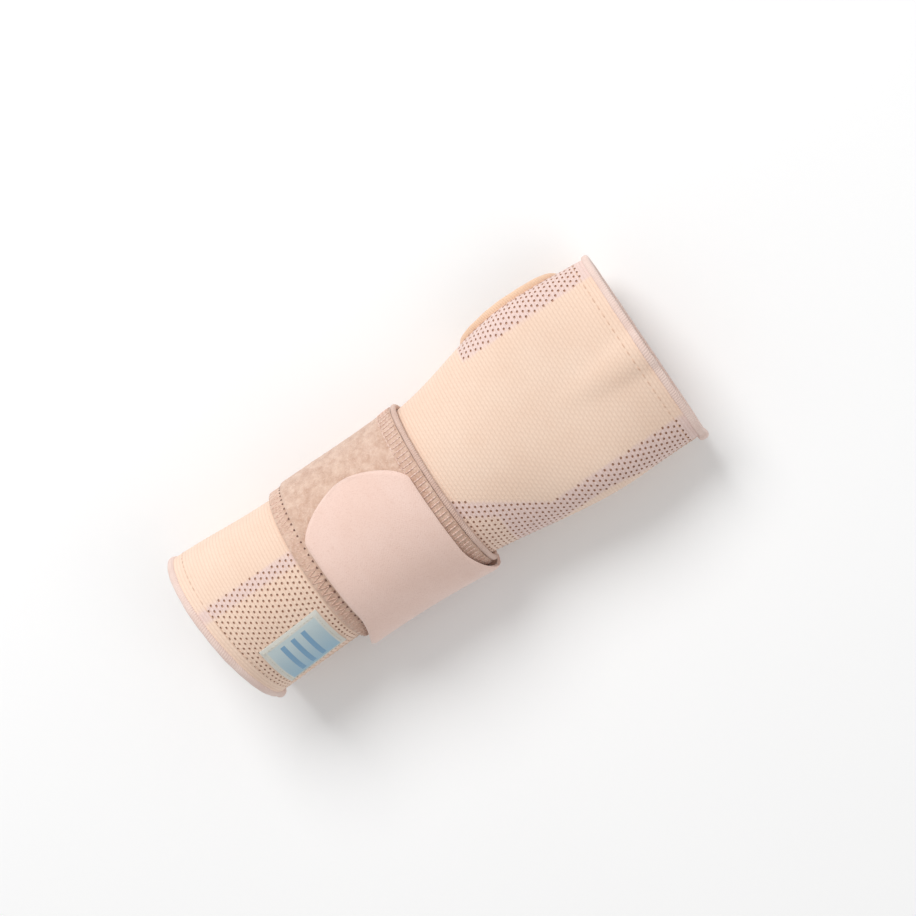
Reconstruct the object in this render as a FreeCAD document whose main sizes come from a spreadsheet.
import FreeCAD, Part
import os
import Sketcher

# Elastic knitted wrist splint for a right hand, in its worn shape.
# +X points to the fingers, +Y to the thumb side, +Z to the back of the hand.
# The origin is the middle of the strap's flat palm face, which the splint rests on.

V = FreeCAD.Vector
doc = FreeCAD.newDocument("WristSplint")

# ---------------------------------------------------------------- driving dimensions

# Cross-sections of the arm space, from the forearm to the fingers. Each has a half width, a
# sideways shift of its middle, and the rise of its crown above the arcs of its sides. Those of
# the hand also have the half width of the flat palm face.
STATIONS = ["forearm_end", "forearm", "strap_rear", "wrist", "strap_front", "flare",
            "thumb_root", "palm", "hand_end"]
WRIST_STATIONS = ["forearm_end", "forearm", "strap_rear", "wrist", "strap_front"]

SIZES = {
    "forearm_length": 40.5, "hand_length": 84.5, "run_out": 5, "hem_slant": 4.8,
    "forearm_end_half": 28.6, "forearm_end_shift": 0, "forearm_end_crown": 12,
    "forearm_past": 24.5, "forearm_half": 28.1, "forearm_shift": 0.3, "forearm_crown": 12,
    "strap_rear_half": 27.0, "strap_rear_shift": 0.2, "strap_rear_crown": 11.7,
    "wrist_half": 27.0, "wrist_shift": 0.3, "wrist_crown": 10.2,
    "strap_front_half": 28.4, "strap_front_shift": -0.2, "strap_front_crown": 6.4,
    "flare_past": 18.5, "flare_half": 31.6, "flare_shift": 0.2, "flare_crown": 7.3, "flare_flat": 18,
    "thumb_root_past": 34.5, "thumb_root_half": 35.2, "thumb_root_shift": 1.2, "thumb_root_crown": 5.6,
    "thumb_root_flat": 21.5,
    "palm_back": 28, "palm_half": 37.2, "palm_shift": 1.8, "palm_crown": 3.6, "palm_flat": 23.5,
    "hand_end_half": 37.0, "hand_end_shift": 0.2, "hand_end_crown": 3, "hand_end_flat": 24,
    "sleeve_wall": 1.6, "hem_width": 2.7, "hem_proud": 1.0, "thread": 0.3, "thread_width": 0.5,
    "hem_stitch_inset": 3.2, "seam_width": 3.0,
    "thumb_margin": 15, "thumb_half_length": 18.5, "thumb_half_width": 9.6, "thumb_tilt": 40,
    "binding_width": 2.7, "binding_proud": 2.4,
    "strap_width": 55, "strap_gap": 0.2, "strap_thick": 2.4, "rest_trim": 0.1, "rear_edge_width": 5.3,
    "rear_edge_thick": 1.4, "front_edge_width": 2.0,
    "tab_gap": 0.3, "tab_thick": 1.6, "tab_tip": 20.0, "tab_corner": 7.5, "tab_half": 20.4,
    "tab_root_inset": 1.2, "tab_waist": 20, "tab_tip_round": 12, "tab_corner_round": 5,
    "hook_thick": 0.8, "hook_inset": 2.6, "hook_start": 14, "hinge_drop": 1.5,
    "tab_root_depth": 8, "tab_row_step": 2.4, "hinge_gap": 0.3,
    "anchor_half": 20, "anchor_gap": 2, "anchor_depth": 5,
    "label_gap": 4.25, "label_length": 24.5, "label_near": 12.5, "label_far": 27.2, "label_thick": 0.9,
    "label_border": 1.6,
    "pocket_side": 3.5, "mouth_margin": 12, "pocket_margin": 28, "pocket_room": 1.1,
    "lining_thick": 1.0, "cover_thick": 0.9, "cover_round": 1.5, "mouth_binding": 2.5,
    "stay_width": 18, "stay_thick": 1.4, "stay_tip_flat": 0.5, "cap_wall": 0.3, "cap_length": 14,
    "slide_room": 0.25, "stay_end_room": 2.5, "pocket_stitch_inset": 1.4,
}

sheet = doc.addObject("Spreadsheet::Sheet", "Sizes")
for row, (alias, number) in enumerate(SIZES.items(), 1):
    sheet.set(f"A{row}", alias)
    sheet.set(f"B{row}", str(number))
    sheet.setAlias(f"B{row}", alias)
doc.recompute()

# Sizes that follow from the driving ones, as expressions on the sheet.
CHANNEL = "(Sizes.stay_thick + 2 * Sizes.cap_wall + 2 * Sizes.slide_room)"
POCKET = f"(Sizes.lining_thick + {CHANNEL} + Sizes.cover_thick)"
ARM_BASE = f"(Sizes.strap_thick + Sizes.strap_gap + {POCKET} + Sizes.sleeve_wall)"
SLEEVE_BASE = f"({ARM_BASE} - Sizes.sleeve_wall)"
CHANNEL_TOP = f"({SLEEVE_BASE} - Sizes.lining_thick)"
CHANNEL_BASE = f"({CHANNEL_TOP} - {CHANNEL})"
STRAP_IN = "(Sizes.sleeve_wall + Sizes.strap_gap)"
STRAP_OUT = f"({STRAP_IN} + Sizes.strap_thick)"
TAB_IN = f"({STRAP_OUT} + Sizes.tab_gap)"
TAB_OUT = f"({TAB_IN} + Sizes.tab_thick)"
STRAP_DROP = f"({POCKET} + Sizes.rest_trim)"
POCKET_HALF = "(Sizes.stay_width / 2 + Sizes.pocket_side)"
REAR_X = "(-Sizes.strap_width / 2)"
FRONT_X = "(Sizes.strap_width / 2)"
FOREARM_END = f"({REAR_X} - Sizes.forearm_length)"
HAND_END = f"({FRONT_X} + Sizes.hand_length)"
REAR_LINE = f"({REAR_X} + Sizes.rear_edge_width)"
FRONT_LINE = f"({FRONT_X} - Sizes.front_edge_width)"
STATION_X = {
    "forearm_end": f"({FOREARM_END} - Sizes.run_out)",
    "forearm": f"({REAR_X} - Sizes.forearm_past)",
    "strap_rear": REAR_X,
    "wrist": "0",
    "strap_front": FRONT_X,
    "flare": f"({FRONT_X} + Sizes.flare_past)",
    "thumb_root": f"({FRONT_X} + Sizes.thumb_root_past)",
    "palm": f"({HAND_END} - Sizes.palm_back)",
    "hand_end": f"({HAND_END} + Sizes.run_out)",
}
WRIST_FLAT = f"({POCKET_HALF} + Sizes.pocket_room)"
FAR = 120.0       # longer than the splint is wide or high, for cutting shapes


def size(expression):
    """The value of an expression on the sheet."""
    return float(sheet.evalExpression(str(expression)))


def bind(thing, **expressions):
    """Tie properties of a document object to expressions."""
    for name, expression in expressions.items():
        thing.setExpression(name, str(expression))
    return thing


def place(thing, x="0", y="0", z="0"):
    """Tie the position of a document object to expressions."""
    for axis, expression in zip("xyz", (x, y, z)):
        thing.setExpression(f".Placement.Base.{axis}", str(expression))
    return thing


def named(thing, label):
    thing.Label = label
    return thing


# ---------------------------------------------------------------- shared shapes

def dimension(sketch, kind, refs, expression, name):
    """A driving sketch dimension, tied to an expression."""
    index = sketch.addConstraint(Sketcher.Constraint(kind, *refs, size(expression)))
    sketch.renameConstraint(index, name)
    sketch.setExpression(f"Constraints.{name}", expression)


def section(label, station, out, drop):
    """One closed cross-section of a layer: a flat palm face, two arcs on each side and a top arc.

    out is the layer's distance from the arm, drop how much further its palm face stands off.
    """
    half, shift, crown_rise = (f"Sizes.{station}_{part}" for part in ("half", "shift", "crown"))
    flat = WRIST_FLAT if station in WRIST_STATIONS else f"Sizes.{station}_flat"
    corner = f"({half} - {flat} + {out})"
    rise = f"({corner} + {crown_rise})"
    top = f"(({flat}^2 + {rise}^2 - {corner}^2) / (2 * {crown_rise}))"
    base = f"({ARM_BASE} - {out} - {drop})"

    r, low, R, f = size(corner), size(f"{corner} + {drop}"), size(top), size(flat)
    y0, z_mid = size(shift), size(f"{base} + {corner} + {drop}")
    z_top = size(f"{base} + {drop} + {corner} + {rise}") - R
    right, left = V(y0 + f, z_mid, 0), V(y0 - f, z_mid, 0)
    inner = low - r
    low_right, low_left = V(right.x - inner, z_mid, 0), V(left.x + inner, z_mid, 0)
    crown = V(y0, z_top, 0)
    angle = (right - crown).getAngle(V(1, 0, 0))
    if z_mid < z_top:
        angle = -angle
    pi = 3.141592653589793

    sketch = doc.addObject("Sketcher::SketchObject", label)
    sketch.Placement = FreeCAD.Placement(V(), FreeCAD.Rotation(V(1, 1, 1), 120))
    place(sketch, x=STATION_X[station])

    def arc(centre, radius, start, end):
        sketch.addGeometry(Part.ArcOfCircle(Part.Circle(centre, V(0, 0, 1), radius), start, end))

    sketch.addGeometry(Part.LineSegment(V(low_left.x, z_mid - low, 0), V(low_right.x, z_mid - low, 0)))
    arc(low_right, low, -pi / 2, 0)
    arc(right, r, 0, angle)
    arc(crown, R, angle, pi - angle)
    arc(left, r, pi - angle, pi)
    arc(low_left, low, pi, 1.5 * pi)
    for first, second in zip(range(6), (1, 2, 3, 4, 5, 0)):
        sketch.addConstraint(Sketcher.Constraint("Tangent", first, 2, second, 1))
    sketch.addConstraint(Sketcher.Constraint("Horizontal", 0))
    sketch.addConstraint(Sketcher.Constraint("Equal", 1, 5))
    sketch.addConstraint(Sketcher.Constraint("Equal", 2, 4))
    sketch.addConstraint(Sketcher.Constraint("Horizontal", 1, 2, 2, 3))
    sketch.addConstraint(Sketcher.Constraint("Horizontal", 5, 1, 4, 3))
    dimension(sketch, "Radius", (1,), f"{corner} + {drop}", "low_corner")
    dimension(sketch, "Radius", (2,), corner, "side")
    dimension(sketch, "Radius", (3,), top, "crown")
    dimension(sketch, "DistanceX", (0, 1, 0, 2), f"2 * ({flat} - {drop})", "flat")
    dimension(sketch, "DistanceX", (-1, 1, 0, 1), f"{shift} - {flat} + {drop}", "start")
    dimension(sketch, "DistanceY", (-1, 1, 0, 1), base, "base")
    return sketch


def skin(name, out, drop="0"):
    """The solid inside a layer's surface, over the whole arm."""
    loft = doc.addObject("Part::Loft", name)
    loft.Sections = [section(f"{name}_{station}", station, out, drop) for station in STATIONS]
    loft.Solid = True
    loft.Ruled = False
    return loft


def cut(name, base, tool):
    result = doc.addObject("Part::Cut", name)
    result.Base, result.Tool = base, tool
    return result


def common(name, *shapes):
    result = doc.addObject("Part::MultiCommon", name)
    result.Shapes = list(shapes)
    return result


def gathered(name, *shapes):
    """Separate solids of one node."""
    result = doc.addObject("Part::Compound", name)
    result.Links = list(shapes)
    return result


def block(name, x, y, z):
    """A box from low to high expressions along each axis."""
    box = doc.addObject("Part::Box", name)
    bind(box, Length=f"({x[1]}) - ({x[0]})", Width=f"({y[1]}) - ({y[0]})", Height=f"({z[1]}) - ({z[0]})")
    return place(box, x[0], y[0], z[0])


def band(name, start, end):
    """Everything between two places along the arm."""
    return block(name, (start, end), (-FAR, FAR), (-FAR, FAR))


def slanted_band(name, start, end):
    """As band, turned to the slant of the forearm hem."""
    length = f"({end} - {start}) * cos(Sizes.hem_slant)"
    box = block(name, ("0", length), ("0", 2 * FAR), ("0", 2 * FAR))
    box.Placement.Rotation = FreeCAD.Rotation(V(0, 0, 1), size("Sizes.hem_slant"))
    place(box, f"{start} + {FAR} * sin(Sizes.hem_slant)", f"-{FAR} * cos(Sizes.hem_slant)", -FAR)
    box.setExpression(".Placement.Rotation.Angle", "Sizes.hem_slant")
    return box


def outline_prism(name, points, bottom, top):
    """A plan outline of straight sides, raised from bottom to top."""
    sketch = doc.addObject("Sketcher::SketchObject", f"{name}_outline")
    place(sketch, z=bottom)
    corners = [V(size(x), size(y), 0) for x, y in points]
    for index, corner in enumerate(corners):
        sketch.addGeometry(Part.LineSegment(corner, corners[(index + 1) % len(corners)]))
    for index, (x, y) in enumerate(points):
        sketch.addConstraint(Sketcher.Constraint("Coincident", (index - 1) % len(points), 2, index, 1))
        dimension(sketch, "DistanceX", (-1, 1, index, 1), x, f"x{index}")
        dimension(sketch, "DistanceY", (-1, 1, index, 1), y, f"y{index}")
    prism = doc.addObject("Part::Extrusion", name)
    prism.Base = sketch
    prism.DirMode = "Normal"
    prism.Solid = True
    return bind(prism, LengthFwd=f"{top} - {bottom}")


def rounded_upright_edges(name, solid, places):
    """Fillets on the upright edges that stand at the given plan places."""
    doc.recompute()
    edges = []
    for x, y, radius in places:
        for number, edge in enumerate(solid.Shape.Edges, 1):
            middle = edge.CenterOfMass
            upright = abs(edge.BoundBox.ZLength - edge.Length) < 1e-6
            if upright and abs(middle.x - size(x)) < 0.01 and abs(middle.y - size(y)) < 0.01:
                edges.append((number, size(radius), size(radius)))
    fillet = doc.addObject("Part::Fillet", name)
    fillet.Base = solid
    fillet.Edges = edges
    return fillet


arm = skin("arm_skin", "0")
sleeve_skin = skin("sleeve_skin", "Sizes.sleeve_wall")
stitch_skin = skin("stitch_skin", "(Sizes.sleeve_wall + Sizes.thread)")
hem_skin = skin("hem_skin", "(Sizes.sleeve_wall + Sizes.hem_proud)")
binding_skin = skin("binding_skin", "(Sizes.sleeve_wall + Sizes.binding_proud)")
label_skin = skin("label_skin", "(Sizes.sleeve_wall + Sizes.label_thick)")
label_stitch_skin = skin("label_stitch_skin", "(Sizes.sleeve_wall + Sizes.label_thick + Sizes.thread)")
strap_in = skin("strap_in", STRAP_IN, POCKET)
strap_edge_skin = skin("strap_edge_skin", f"({STRAP_IN} + Sizes.rear_edge_thick)", POCKET)
strap_out = skin("strap_out", STRAP_OUT, STRAP_DROP)
strap_stitch_skin = skin("strap_stitch_skin", f"({STRAP_OUT} + Sizes.thread)", STRAP_DROP)
tab_in = skin("tab_in", TAB_IN, STRAP_DROP)
hook_skin = skin("hook_skin", f"({TAB_IN} + Sizes.hook_thick)", STRAP_DROP)
tab_out = skin("tab_out", TAB_OUT, STRAP_DROP)
tab_stitch_skin = skin("tab_stitch_skin", f"({TAB_OUT} + Sizes.thread)", STRAP_DROP)

# ---------------------------------------------------------------- knitted sleeve and its edges

SLEEVE_START = f"({FOREARM_END} + Sizes.hem_width)"
SLEEVE_END = f"({HAND_END} - Sizes.hem_width)"
WIDEST = f"({ARM_BASE} + Sizes.wrist_half - {WRIST_FLAT})"
THUMB_X = f"({HAND_END} - Sizes.thumb_margin - Sizes.thumb_half_length)"


def past_slant(name, start):
    """Everything towards the fingers of a slanted line."""
    return slanted_band(name, start, f"({HAND_END} + {FAR})")


def thumb_prism(name, border):
    """An oval bar through the thumb side of the sleeve, tilted towards the palm."""
    oval = doc.addObject("Part::Ellipse", f"{name}_oval")
    bind(oval, MajorRadius=f"Sizes.thumb_half_length + {border}",
         MinorRadius=f"Sizes.thumb_half_width + {border}")
    oval.Placement.Rotation = FreeCAD.Rotation(V(1, 0, 0), -90 - size("Sizes.thumb_tilt"))
    oval.setExpression(".Placement.Rotation.Angle", "-90 - Sizes.thumb_tilt")
    place(oval, THUMB_X, "Sizes.palm_flat + Sizes.palm_shift",
          f"{ARM_BASE} + Sizes.palm_half - Sizes.palm_flat")
    bar = doc.addObject("Part::Extrusion", name)
    bar.Base = oval
    bar.DirMode = "Normal"
    bar.Solid = True
    return bind(bar, LengthFwd="Sizes.palm_half")


def ring(name, outer, inner, trim):
    """The layer between two skins, trimmed along the arm."""
    return common(name, cut(f"{name}_layer", outer, inner), trim)


def knit_sleeve():
    length = common("sleeve_length", past_slant("sleeve_start", SLEEVE_START),
                    band("sleeve_end", STATION_X["forearm_end"], SLEEVE_END))
    tube = ring("sleeve_tube", sleeve_skin, arm, length)
    open_tube = cut("sleeve_thumb_opening", tube, thumb_prism("thumb_hole", "Sizes.binding_width"))
    slit = seam_slot("sleeve_slit")
    return named(cut("sleeve_open_edge", open_tube, slit), "knit_sleeve")


def seam_slot(name):
    """The strip along the little-finger side where the two edges of the knit meet."""
    return block(name, (-FAR, FAR), (-FAR, "0"),
                 (f"{WIDEST} - Sizes.seam_width", WIDEST))


def ulnar_seam():
    length = common("seam_length", past_slant("seam_start", SLEEVE_START),
                    band("seam_end", STATION_X["forearm_end"], SLEEVE_END))
    return named(common("seam_strip", cut("seam_layer", sleeve_skin, arm), length,
                        seam_slot("seam_room")), "ulnar_seam")


def hems():
    forearm = ring("forearm_hem_ring", hem_skin, arm,
                   slanted_band("forearm_hem_band", FOREARM_END, SLEEVE_START))
    hand = ring("hand_hem_ring", hem_skin, arm, band("hand_hem_band", SLEEVE_END, HAND_END))
    return [named(forearm, "forearm_hem"), named(hand, "hand_hem")]


def hem_stitches():
    """One row of thread round the sleeve, inboard of each hem."""
    near = f"({SLEEVE_START} + Sizes.hem_stitch_inset)"
    far = f"({SLEEVE_END} - Sizes.hem_stitch_inset)"
    forearm = ring("forearm_stitch_ring", stitch_skin, sleeve_skin,
                   slanted_band("forearm_stitch_band", near, f"{near} + Sizes.thread_width"))
    hand = ring("hand_stitch_ring", stitch_skin, sleeve_skin,
                band("hand_stitch_band", f"{far} - Sizes.thread_width", far))
    return [named(forearm, "forearm_hem_stitch"), named(hand, "hand_hem_stitch")]


def thumb_binding():
    layer = cut("binding_layer", binding_skin, arm)
    collar = common("binding_collar", layer, thumb_prism("binding_outer", "Sizes.binding_width"))
    return named(cut("binding_open", collar, thumb_prism("binding_inner", "0")), "thumb_binding")


def thumb_stitch():
    """The row of thread just outside the thumb binding."""
    layer = cut("thumb_stitch_layer", stitch_skin, sleeve_skin)
    near = "(Sizes.binding_width + Sizes.thread_width)"
    far = thumb_prism("thumb_stitch_far", f"{near} + Sizes.thread_width")
    outer = common("thumb_stitch_outer", layer, far)
    row = cut("thumb_stitch_ring", outer, thumb_prism("thumb_stitch_near", near))
    return named(row, "thumb_binding_stitch")


# ---------------------------------------------------------------- wrap strap

def strap_layers():
    """The loop-faced band with its thin overlocked rear edge and its rolled front edge.

    The palm face of the band and of the roll is trimmed flat where the splint rests.
    """
    main = ring("strap_main", strap_out, strap_in, above_rest("strap_main_room", REAR_LINE, FRONT_LINE))
    rear = ring("strap_rear", strap_edge_skin, strap_in, band("strap_rear_band", REAR_X, REAR_LINE))
    front = ring("strap_front", strap_out, strap_in, above_rest("strap_front_room", FRONT_LINE, FRONT_X))
    return [named(main, "strap_band"), named(rear, "strap_rear_edge"), named(front, "strap_front_edge")]


def above_rest(name, start, end):
    """Everything between two places along the arm, above the plane the splint rests on."""
    return block(name, (start, end), (-FAR, FAR), ("0", FAR))


HINGE = f"({WIDEST} - Sizes.hinge_drop)"
TAB_FOOT = f"({HINGE} + Sizes.hinge_gap)"
TAB_ROOT_HALF = f"({FRONT_X} - Sizes.tab_root_inset)"


def closing_tab():
    """The smooth flap over the back of the wrist, with a recess for the hook patch."""
    side, foot = "Sizes.tab_half", f"(-Sizes.strap_front_half - {TAB_OUT})"
    waist = "(-Sizes.tab_waist)"
    root, outside = TAB_ROOT_HALF, f"{foot} - Sizes.run_out"
    corner = "Sizes.tab_corner"
    points = [(f"-{root}", outside), (root, outside), (root, foot), (side, waist), (side, corner),
              ("0", "Sizes.tab_tip"), (f"-{side}", corner), (f"-{side}", waist), (f"-{root}", foot)]
    prism = outline_prism("tab_prism", points, TAB_FOOT, FAR)
    shape = rounded_upright_edges("tab_shape", prism, [
        (side, waist, "Sizes.tab_tip_round"), (f"-{side}", waist, "Sizes.tab_tip_round"),
        (side, corner, "Sizes.tab_corner_round"), (f"-{side}", corner, "Sizes.tab_corner_round"),
        ("0", "Sizes.tab_tip", "Sizes.tab_tip_round")])
    flap = common("tab_flap", cut("tab_layer", tab_out, tab_in), shape)
    hook = hook_shape()
    return [named(cut("tab_with_recess", flap, hook), "strap_tab"), named(hook, "hook_patch")]


def hook_shape():
    side, tip = "(Sizes.tab_half - Sizes.hook_inset)", "(Sizes.tab_tip - 2 * Sizes.hook_inset)"
    shoulder = "(Sizes.tab_corner - Sizes.hook_inset)"
    points = [(f"-{side}", "-Sizes.hook_start"), (side, "-Sizes.hook_start"), (side, shoulder),
              ("Sizes.tab_corner_round", tip), ("-Sizes.tab_corner_round", tip), (f"-{side}", shoulder)]
    prism = outline_prism("hook_prism", points, TAB_FOOT, FAR)
    return common("hook_flap", cut("hook_layer", hook_skin, tab_in), prism)


def tab_root():
    """The sewn end of the tab, below the line it swings about, and the two rows of thread on it."""
    low = f"({HINGE} - Sizes.tab_root_depth)"
    room = block("tab_root_room", (f"-{TAB_ROOT_HALF}", TAB_ROOT_HALF), (-FAR, "0"), (low, f"({HINGE} - Sizes.hinge_gap)"))
    main_only = band("tab_root_band", REAR_LINE, FRONT_LINE)
    root = common("tab_root_piece", cut("tab_root_layer", tab_out, strap_out), room, main_only)
    rows = []
    for number in (1, 2):
        row_low = f"({low} + {number} * Sizes.tab_row_step)"
        room = block(f"tab_stitch_room_{number}", (REAR_LINE, FRONT_LINE), (-FAR, "0"),
                     (row_low, f"{row_low} + Sizes.thread_width"))
        layer = cut(f"tab_stitch_layer_{number}", tab_stitch_skin, tab_out)
        rows.append(common(f"tab_stitch_row_{number}", layer, room))
    return [named(root, "tab_root"), named(gathered("tab_stitch_rows", *rows), "tab_root_stitch")]


def anchor_stitch():
    """The frame of thread that fixes the strap to the sleeve, on the palm corner below the root."""
    half, top = "Sizes.anchor_half", f"({HINGE} - Sizes.tab_root_depth - Sizes.anchor_gap)"
    low = f"({top} - Sizes.anchor_depth)"
    outer = block("anchor_outer", (f"-{half}", half), (-FAR, "0"), (low, top))
    inner = block("anchor_inner", (f"(-{half} + Sizes.thread_width)", f"({half} - Sizes.thread_width)"),
                  (-FAR, "0"), (f"({low} + Sizes.thread_width)", f"({top} - Sizes.thread_width)"))
    frame = cut("anchor_frame", outer, inner)
    layer = cut("anchor_layer", strap_stitch_skin, strap_out)
    return named(common("anchor_thread", layer, frame), "strap_anchor_stitch")


# ---------------------------------------------------------------- woven label

def woven_label():
    """The label on the little-finger side of the forearm, and its stitched border."""
    def patch(name, border):
        front = f"({REAR_X} - Sizes.label_gap)"
        near, far = "-Sizes.label_near", "-Sizes.label_far"
        return block(name, (f"({front} - Sizes.label_length + {border})", f"({front} - {border})"),
                     (f"({far} + {border})", f"({near} - {border})"), (WIDEST, FAR))

    label = common("label_patch", cut("label_layer", label_skin, sleeve_skin), patch("label_room", "0"))
    border = cut("label_border_room", patch("label_border_outer", "Sizes.label_border"),
                 patch("label_border_inner", "Sizes.label_border + Sizes.thread_width"))
    stitch = common("label_thread", cut("label_stitch_layer", label_stitch_skin, label_skin), border)
    return [named(label, "woven_label"), named(stitch, "label_stitch")]


# ---------------------------------------------------------------- palmar stay and its pocket

POCKET_START = f"({FOREARM_END} + Sizes.mouth_margin)"
POCKET_END = f"({HAND_END} - Sizes.pocket_margin)"
POCKET_LENGTH = f"({POCKET_END} - {POCKET_START})"
STAY_START = f"({POCKET_START} + Sizes.stay_end_room)"
STAY_LENGTH = f"({POCKET_LENGTH} - Sizes.mouth_binding - 2 * Sizes.stay_end_room)"
STAY_END = f"({STAY_START} + {STAY_LENGTH})"
STAY_BASE = f"({CHANNEL_BASE} + Sizes.slide_room + Sizes.cap_wall)"
CHANNEL_WIDTH = "(Sizes.stay_width + 2 * Sizes.cap_wall + 2 * Sizes.slide_room)"
STAY_ROUND = "(Sizes.stay_width / 2 - Sizes.stay_tip_flat)"


def origin_plane(body, role):
    return [feature for feature in body.Origin.OriginFeatures if feature.Role == role][0]


def plate(label, start, length, width, base, thick, corners=None):
    """A flat bar along the arm, centred on the palm, its upright corners rounded if a radius is given."""
    body = doc.addObject("PartDesign::Body", label)
    sketch = body.newObject("Sketcher::SketchObject", f"{label}_plan")
    sketch.AttachmentSupport = [(origin_plane(body, "XY_Plane"), "")]
    sketch.MapMode = "FlatFace"
    across, along = size(width) / 2, size(length)
    points = [V(0, -across, 0), V(along, -across, 0), V(along, across, 0), V(0, across, 0)]
    for index in range(4):
        sketch.addGeometry(Part.LineSegment(points[index], points[(index + 1) % 4]))
    for index in range(4):
        sketch.addConstraint(Sketcher.Constraint("Coincident", index, 2, (index + 1) % 4, 1))
    for index, kind in enumerate(("Horizontal", "Vertical", "Horizontal", "Vertical")):
        sketch.addConstraint(Sketcher.Constraint(kind, index))
    sketch.addConstraint(Sketcher.Constraint("Symmetric", 0, 1, 3, 1, -1, 1))
    dimension(sketch, "DistanceX", (0, 1, 0, 2), length, "long")
    dimension(sketch, "DistanceY", (1, 1, 1, 2), width, "wide")
    pad = body.newObject("PartDesign::Pad", f"{label}_pad")
    pad.Profile = sketch
    bind(pad, Length=thick)
    place(body, start, "0", base)
    doc.recompute()
    if corners:
        fillet = body.newObject("PartDesign::Fillet", f"{label}_corners")
        upright = [f"Edge{number}" for number, edge in enumerate(pad.Shape.Edges, 1)
                   if abs(edge.BoundBox.ZLength - edge.Length) < 1e-6]
        fillet.Base = (pad, upright)
        bind(fillet, Radius=corners)
    return body


def palmar_stay():
    """A flat aluminium bar with round ends, and a soft cap over each end."""
    stay = plate("palmar_stay", STAY_START, STAY_LENGTH, "Sizes.stay_width", STAY_BASE,
                 "Sizes.stay_thick", STAY_ROUND)
    capped = plate("stay_with_caps", f"{STAY_START} - Sizes.cap_wall",
                   f"{STAY_LENGTH} + 2 * Sizes.cap_wall", "Sizes.stay_width + 2 * Sizes.cap_wall",
                   f"{STAY_BASE} - Sizes.cap_wall", "Sizes.stay_thick + 2 * Sizes.cap_wall",
                   f"{STAY_ROUND} + Sizes.cap_wall")
    sleeve = cut("cap_sleeve", capped, stay)
    rear_end = f"({STAY_START} + Sizes.cap_length)"
    front_end = f"({STAY_END} - Sizes.cap_length)"
    rear = common("cap_rear", sleeve, band("cap_rear_band", -FAR, rear_end))
    front = common("cap_front", sleeve, band("cap_front_band", front_end, f"({STAY_END} + {FAR})"))
    return [stay, named(rear, "stay_cap_forearm"), named(front, "stay_cap_palm")]


def stay_pocket():
    """The lining against the sleeve, the outer cover with its channel, and the tape round the mouth."""
    lining = plate("pocket_lining", POCKET_START, POCKET_LENGTH, f"2 * {POCKET_HALF}", CHANNEL_TOP,
                   "Sizes.lining_thick")
    depth = f"({CHANNEL} + Sizes.cover_thick)"
    cover_base = f"({CHANNEL_BASE} - Sizes.cover_thick)"
    shell = plate("pocket_shell", f"({POCKET_START} + Sizes.mouth_binding)",
                  f"({POCKET_LENGTH} - Sizes.mouth_binding)", f"2 * {POCKET_HALF}", cover_base, depth)
    tape = plate("mouth_tape", POCKET_START, "Sizes.mouth_binding", f"2 * {POCKET_HALF}", cover_base, depth)
    channel_end = f"({STAY_END} + Sizes.cap_wall + Sizes.stay_end_room)"
    channel = block("stay_channel", (f"({POCKET_START} - Sizes.run_out)", channel_end),
                    (f"(-{CHANNEL_WIDTH} / 2)", f"({CHANNEL_WIDTH} / 2)"), (CHANNEL_BASE, CHANNEL_TOP))
    cover = cut("pocket_hollow", rounded_underside("pocket_soft_shell", shell), channel)
    binding = cut("mouth_open", rounded_underside("mouth_soft_tape", tape), channel)
    return [lining, named(cover, "pocket_cover"), named(binding, "pocket_mouth_binding")]


def rounded_underside(name, body):
    """The two long lower edges of a plate, rounded."""
    doc.recompute()
    low = body.Shape.BoundBox.ZMin
    edges = [(number, size("Sizes.cover_round"), size("Sizes.cover_round"))
             for number, edge in enumerate(body.Shape.Edges, 1)
             if abs(edge.BoundBox.XLength - edge.Length) < 1e-6 and abs(edge.CenterOfMass.z - low) < 1e-6]
    fillet = doc.addObject("Part::Fillet", name)
    fillet.Base = body
    fillet.Edges = edges
    return fillet


def pocket_stitch():
    """Rows of thread along both edges of the cover, behind and in front of the strap."""
    under = f"({CHANNEL_BASE} - Sizes.cover_thick)"
    row_y = f"({POCKET_HALF} - Sizes.cover_round - Sizes.thread_width)"
    stretches = [(f"({POCKET_START} + Sizes.mouth_binding)", f"({REAR_X} - Sizes.strap_gap)"),
                 (f"({FRONT_X} + Sizes.strap_gap)", f"({POCKET_END} - Sizes.pocket_stitch_inset)")]
    rows = []
    for stretch, side in ((stretch, side) for stretch in stretches for side in (-1, 1)):
        middle = f"({side} * {row_y})"
        rows.append(block("pocket_row", stretch, (f"({middle} - Sizes.thread_width / 2)",
                                                  f"({middle} + Sizes.thread_width / 2)"),
                          (f"({under} - Sizes.thread)", under)))
    return named(gathered("pocket_rows", *rows), "pocket_stitch")


# ---------------------------------------------------------------- build, check and write

nodes = [knit_sleeve(), ulnar_seam(), *hems(), *hem_stitches(), thumb_binding(), thumb_stitch(),
         *strap_layers(), *closing_tab(), *tab_root(), anchor_stitch(), *woven_label(),
         *palmar_stay(), *stay_pocket(), pocket_stitch()]
doc.recompute()

for thing in doc.Objects:
    if "Invalid" in thing.State or "Error" in thing.State:
        raise RuntimeError(f"{thing.Label} failed: {thing.State}")
os.makedirs("parts", exist_ok=True)
for node in nodes:
    shape = node.Shape
    if shape.isNull() or not shape.isValid() or not shape.Solids:
        raise RuntimeError(f"{node.Label} has no valid solid")
    shape.exportStep(f"parts/{node.Label}.step")
    print(f"{node.Label}: {len(shape.Solids)} solid(s), {shape.Volume:.1f} mm3")
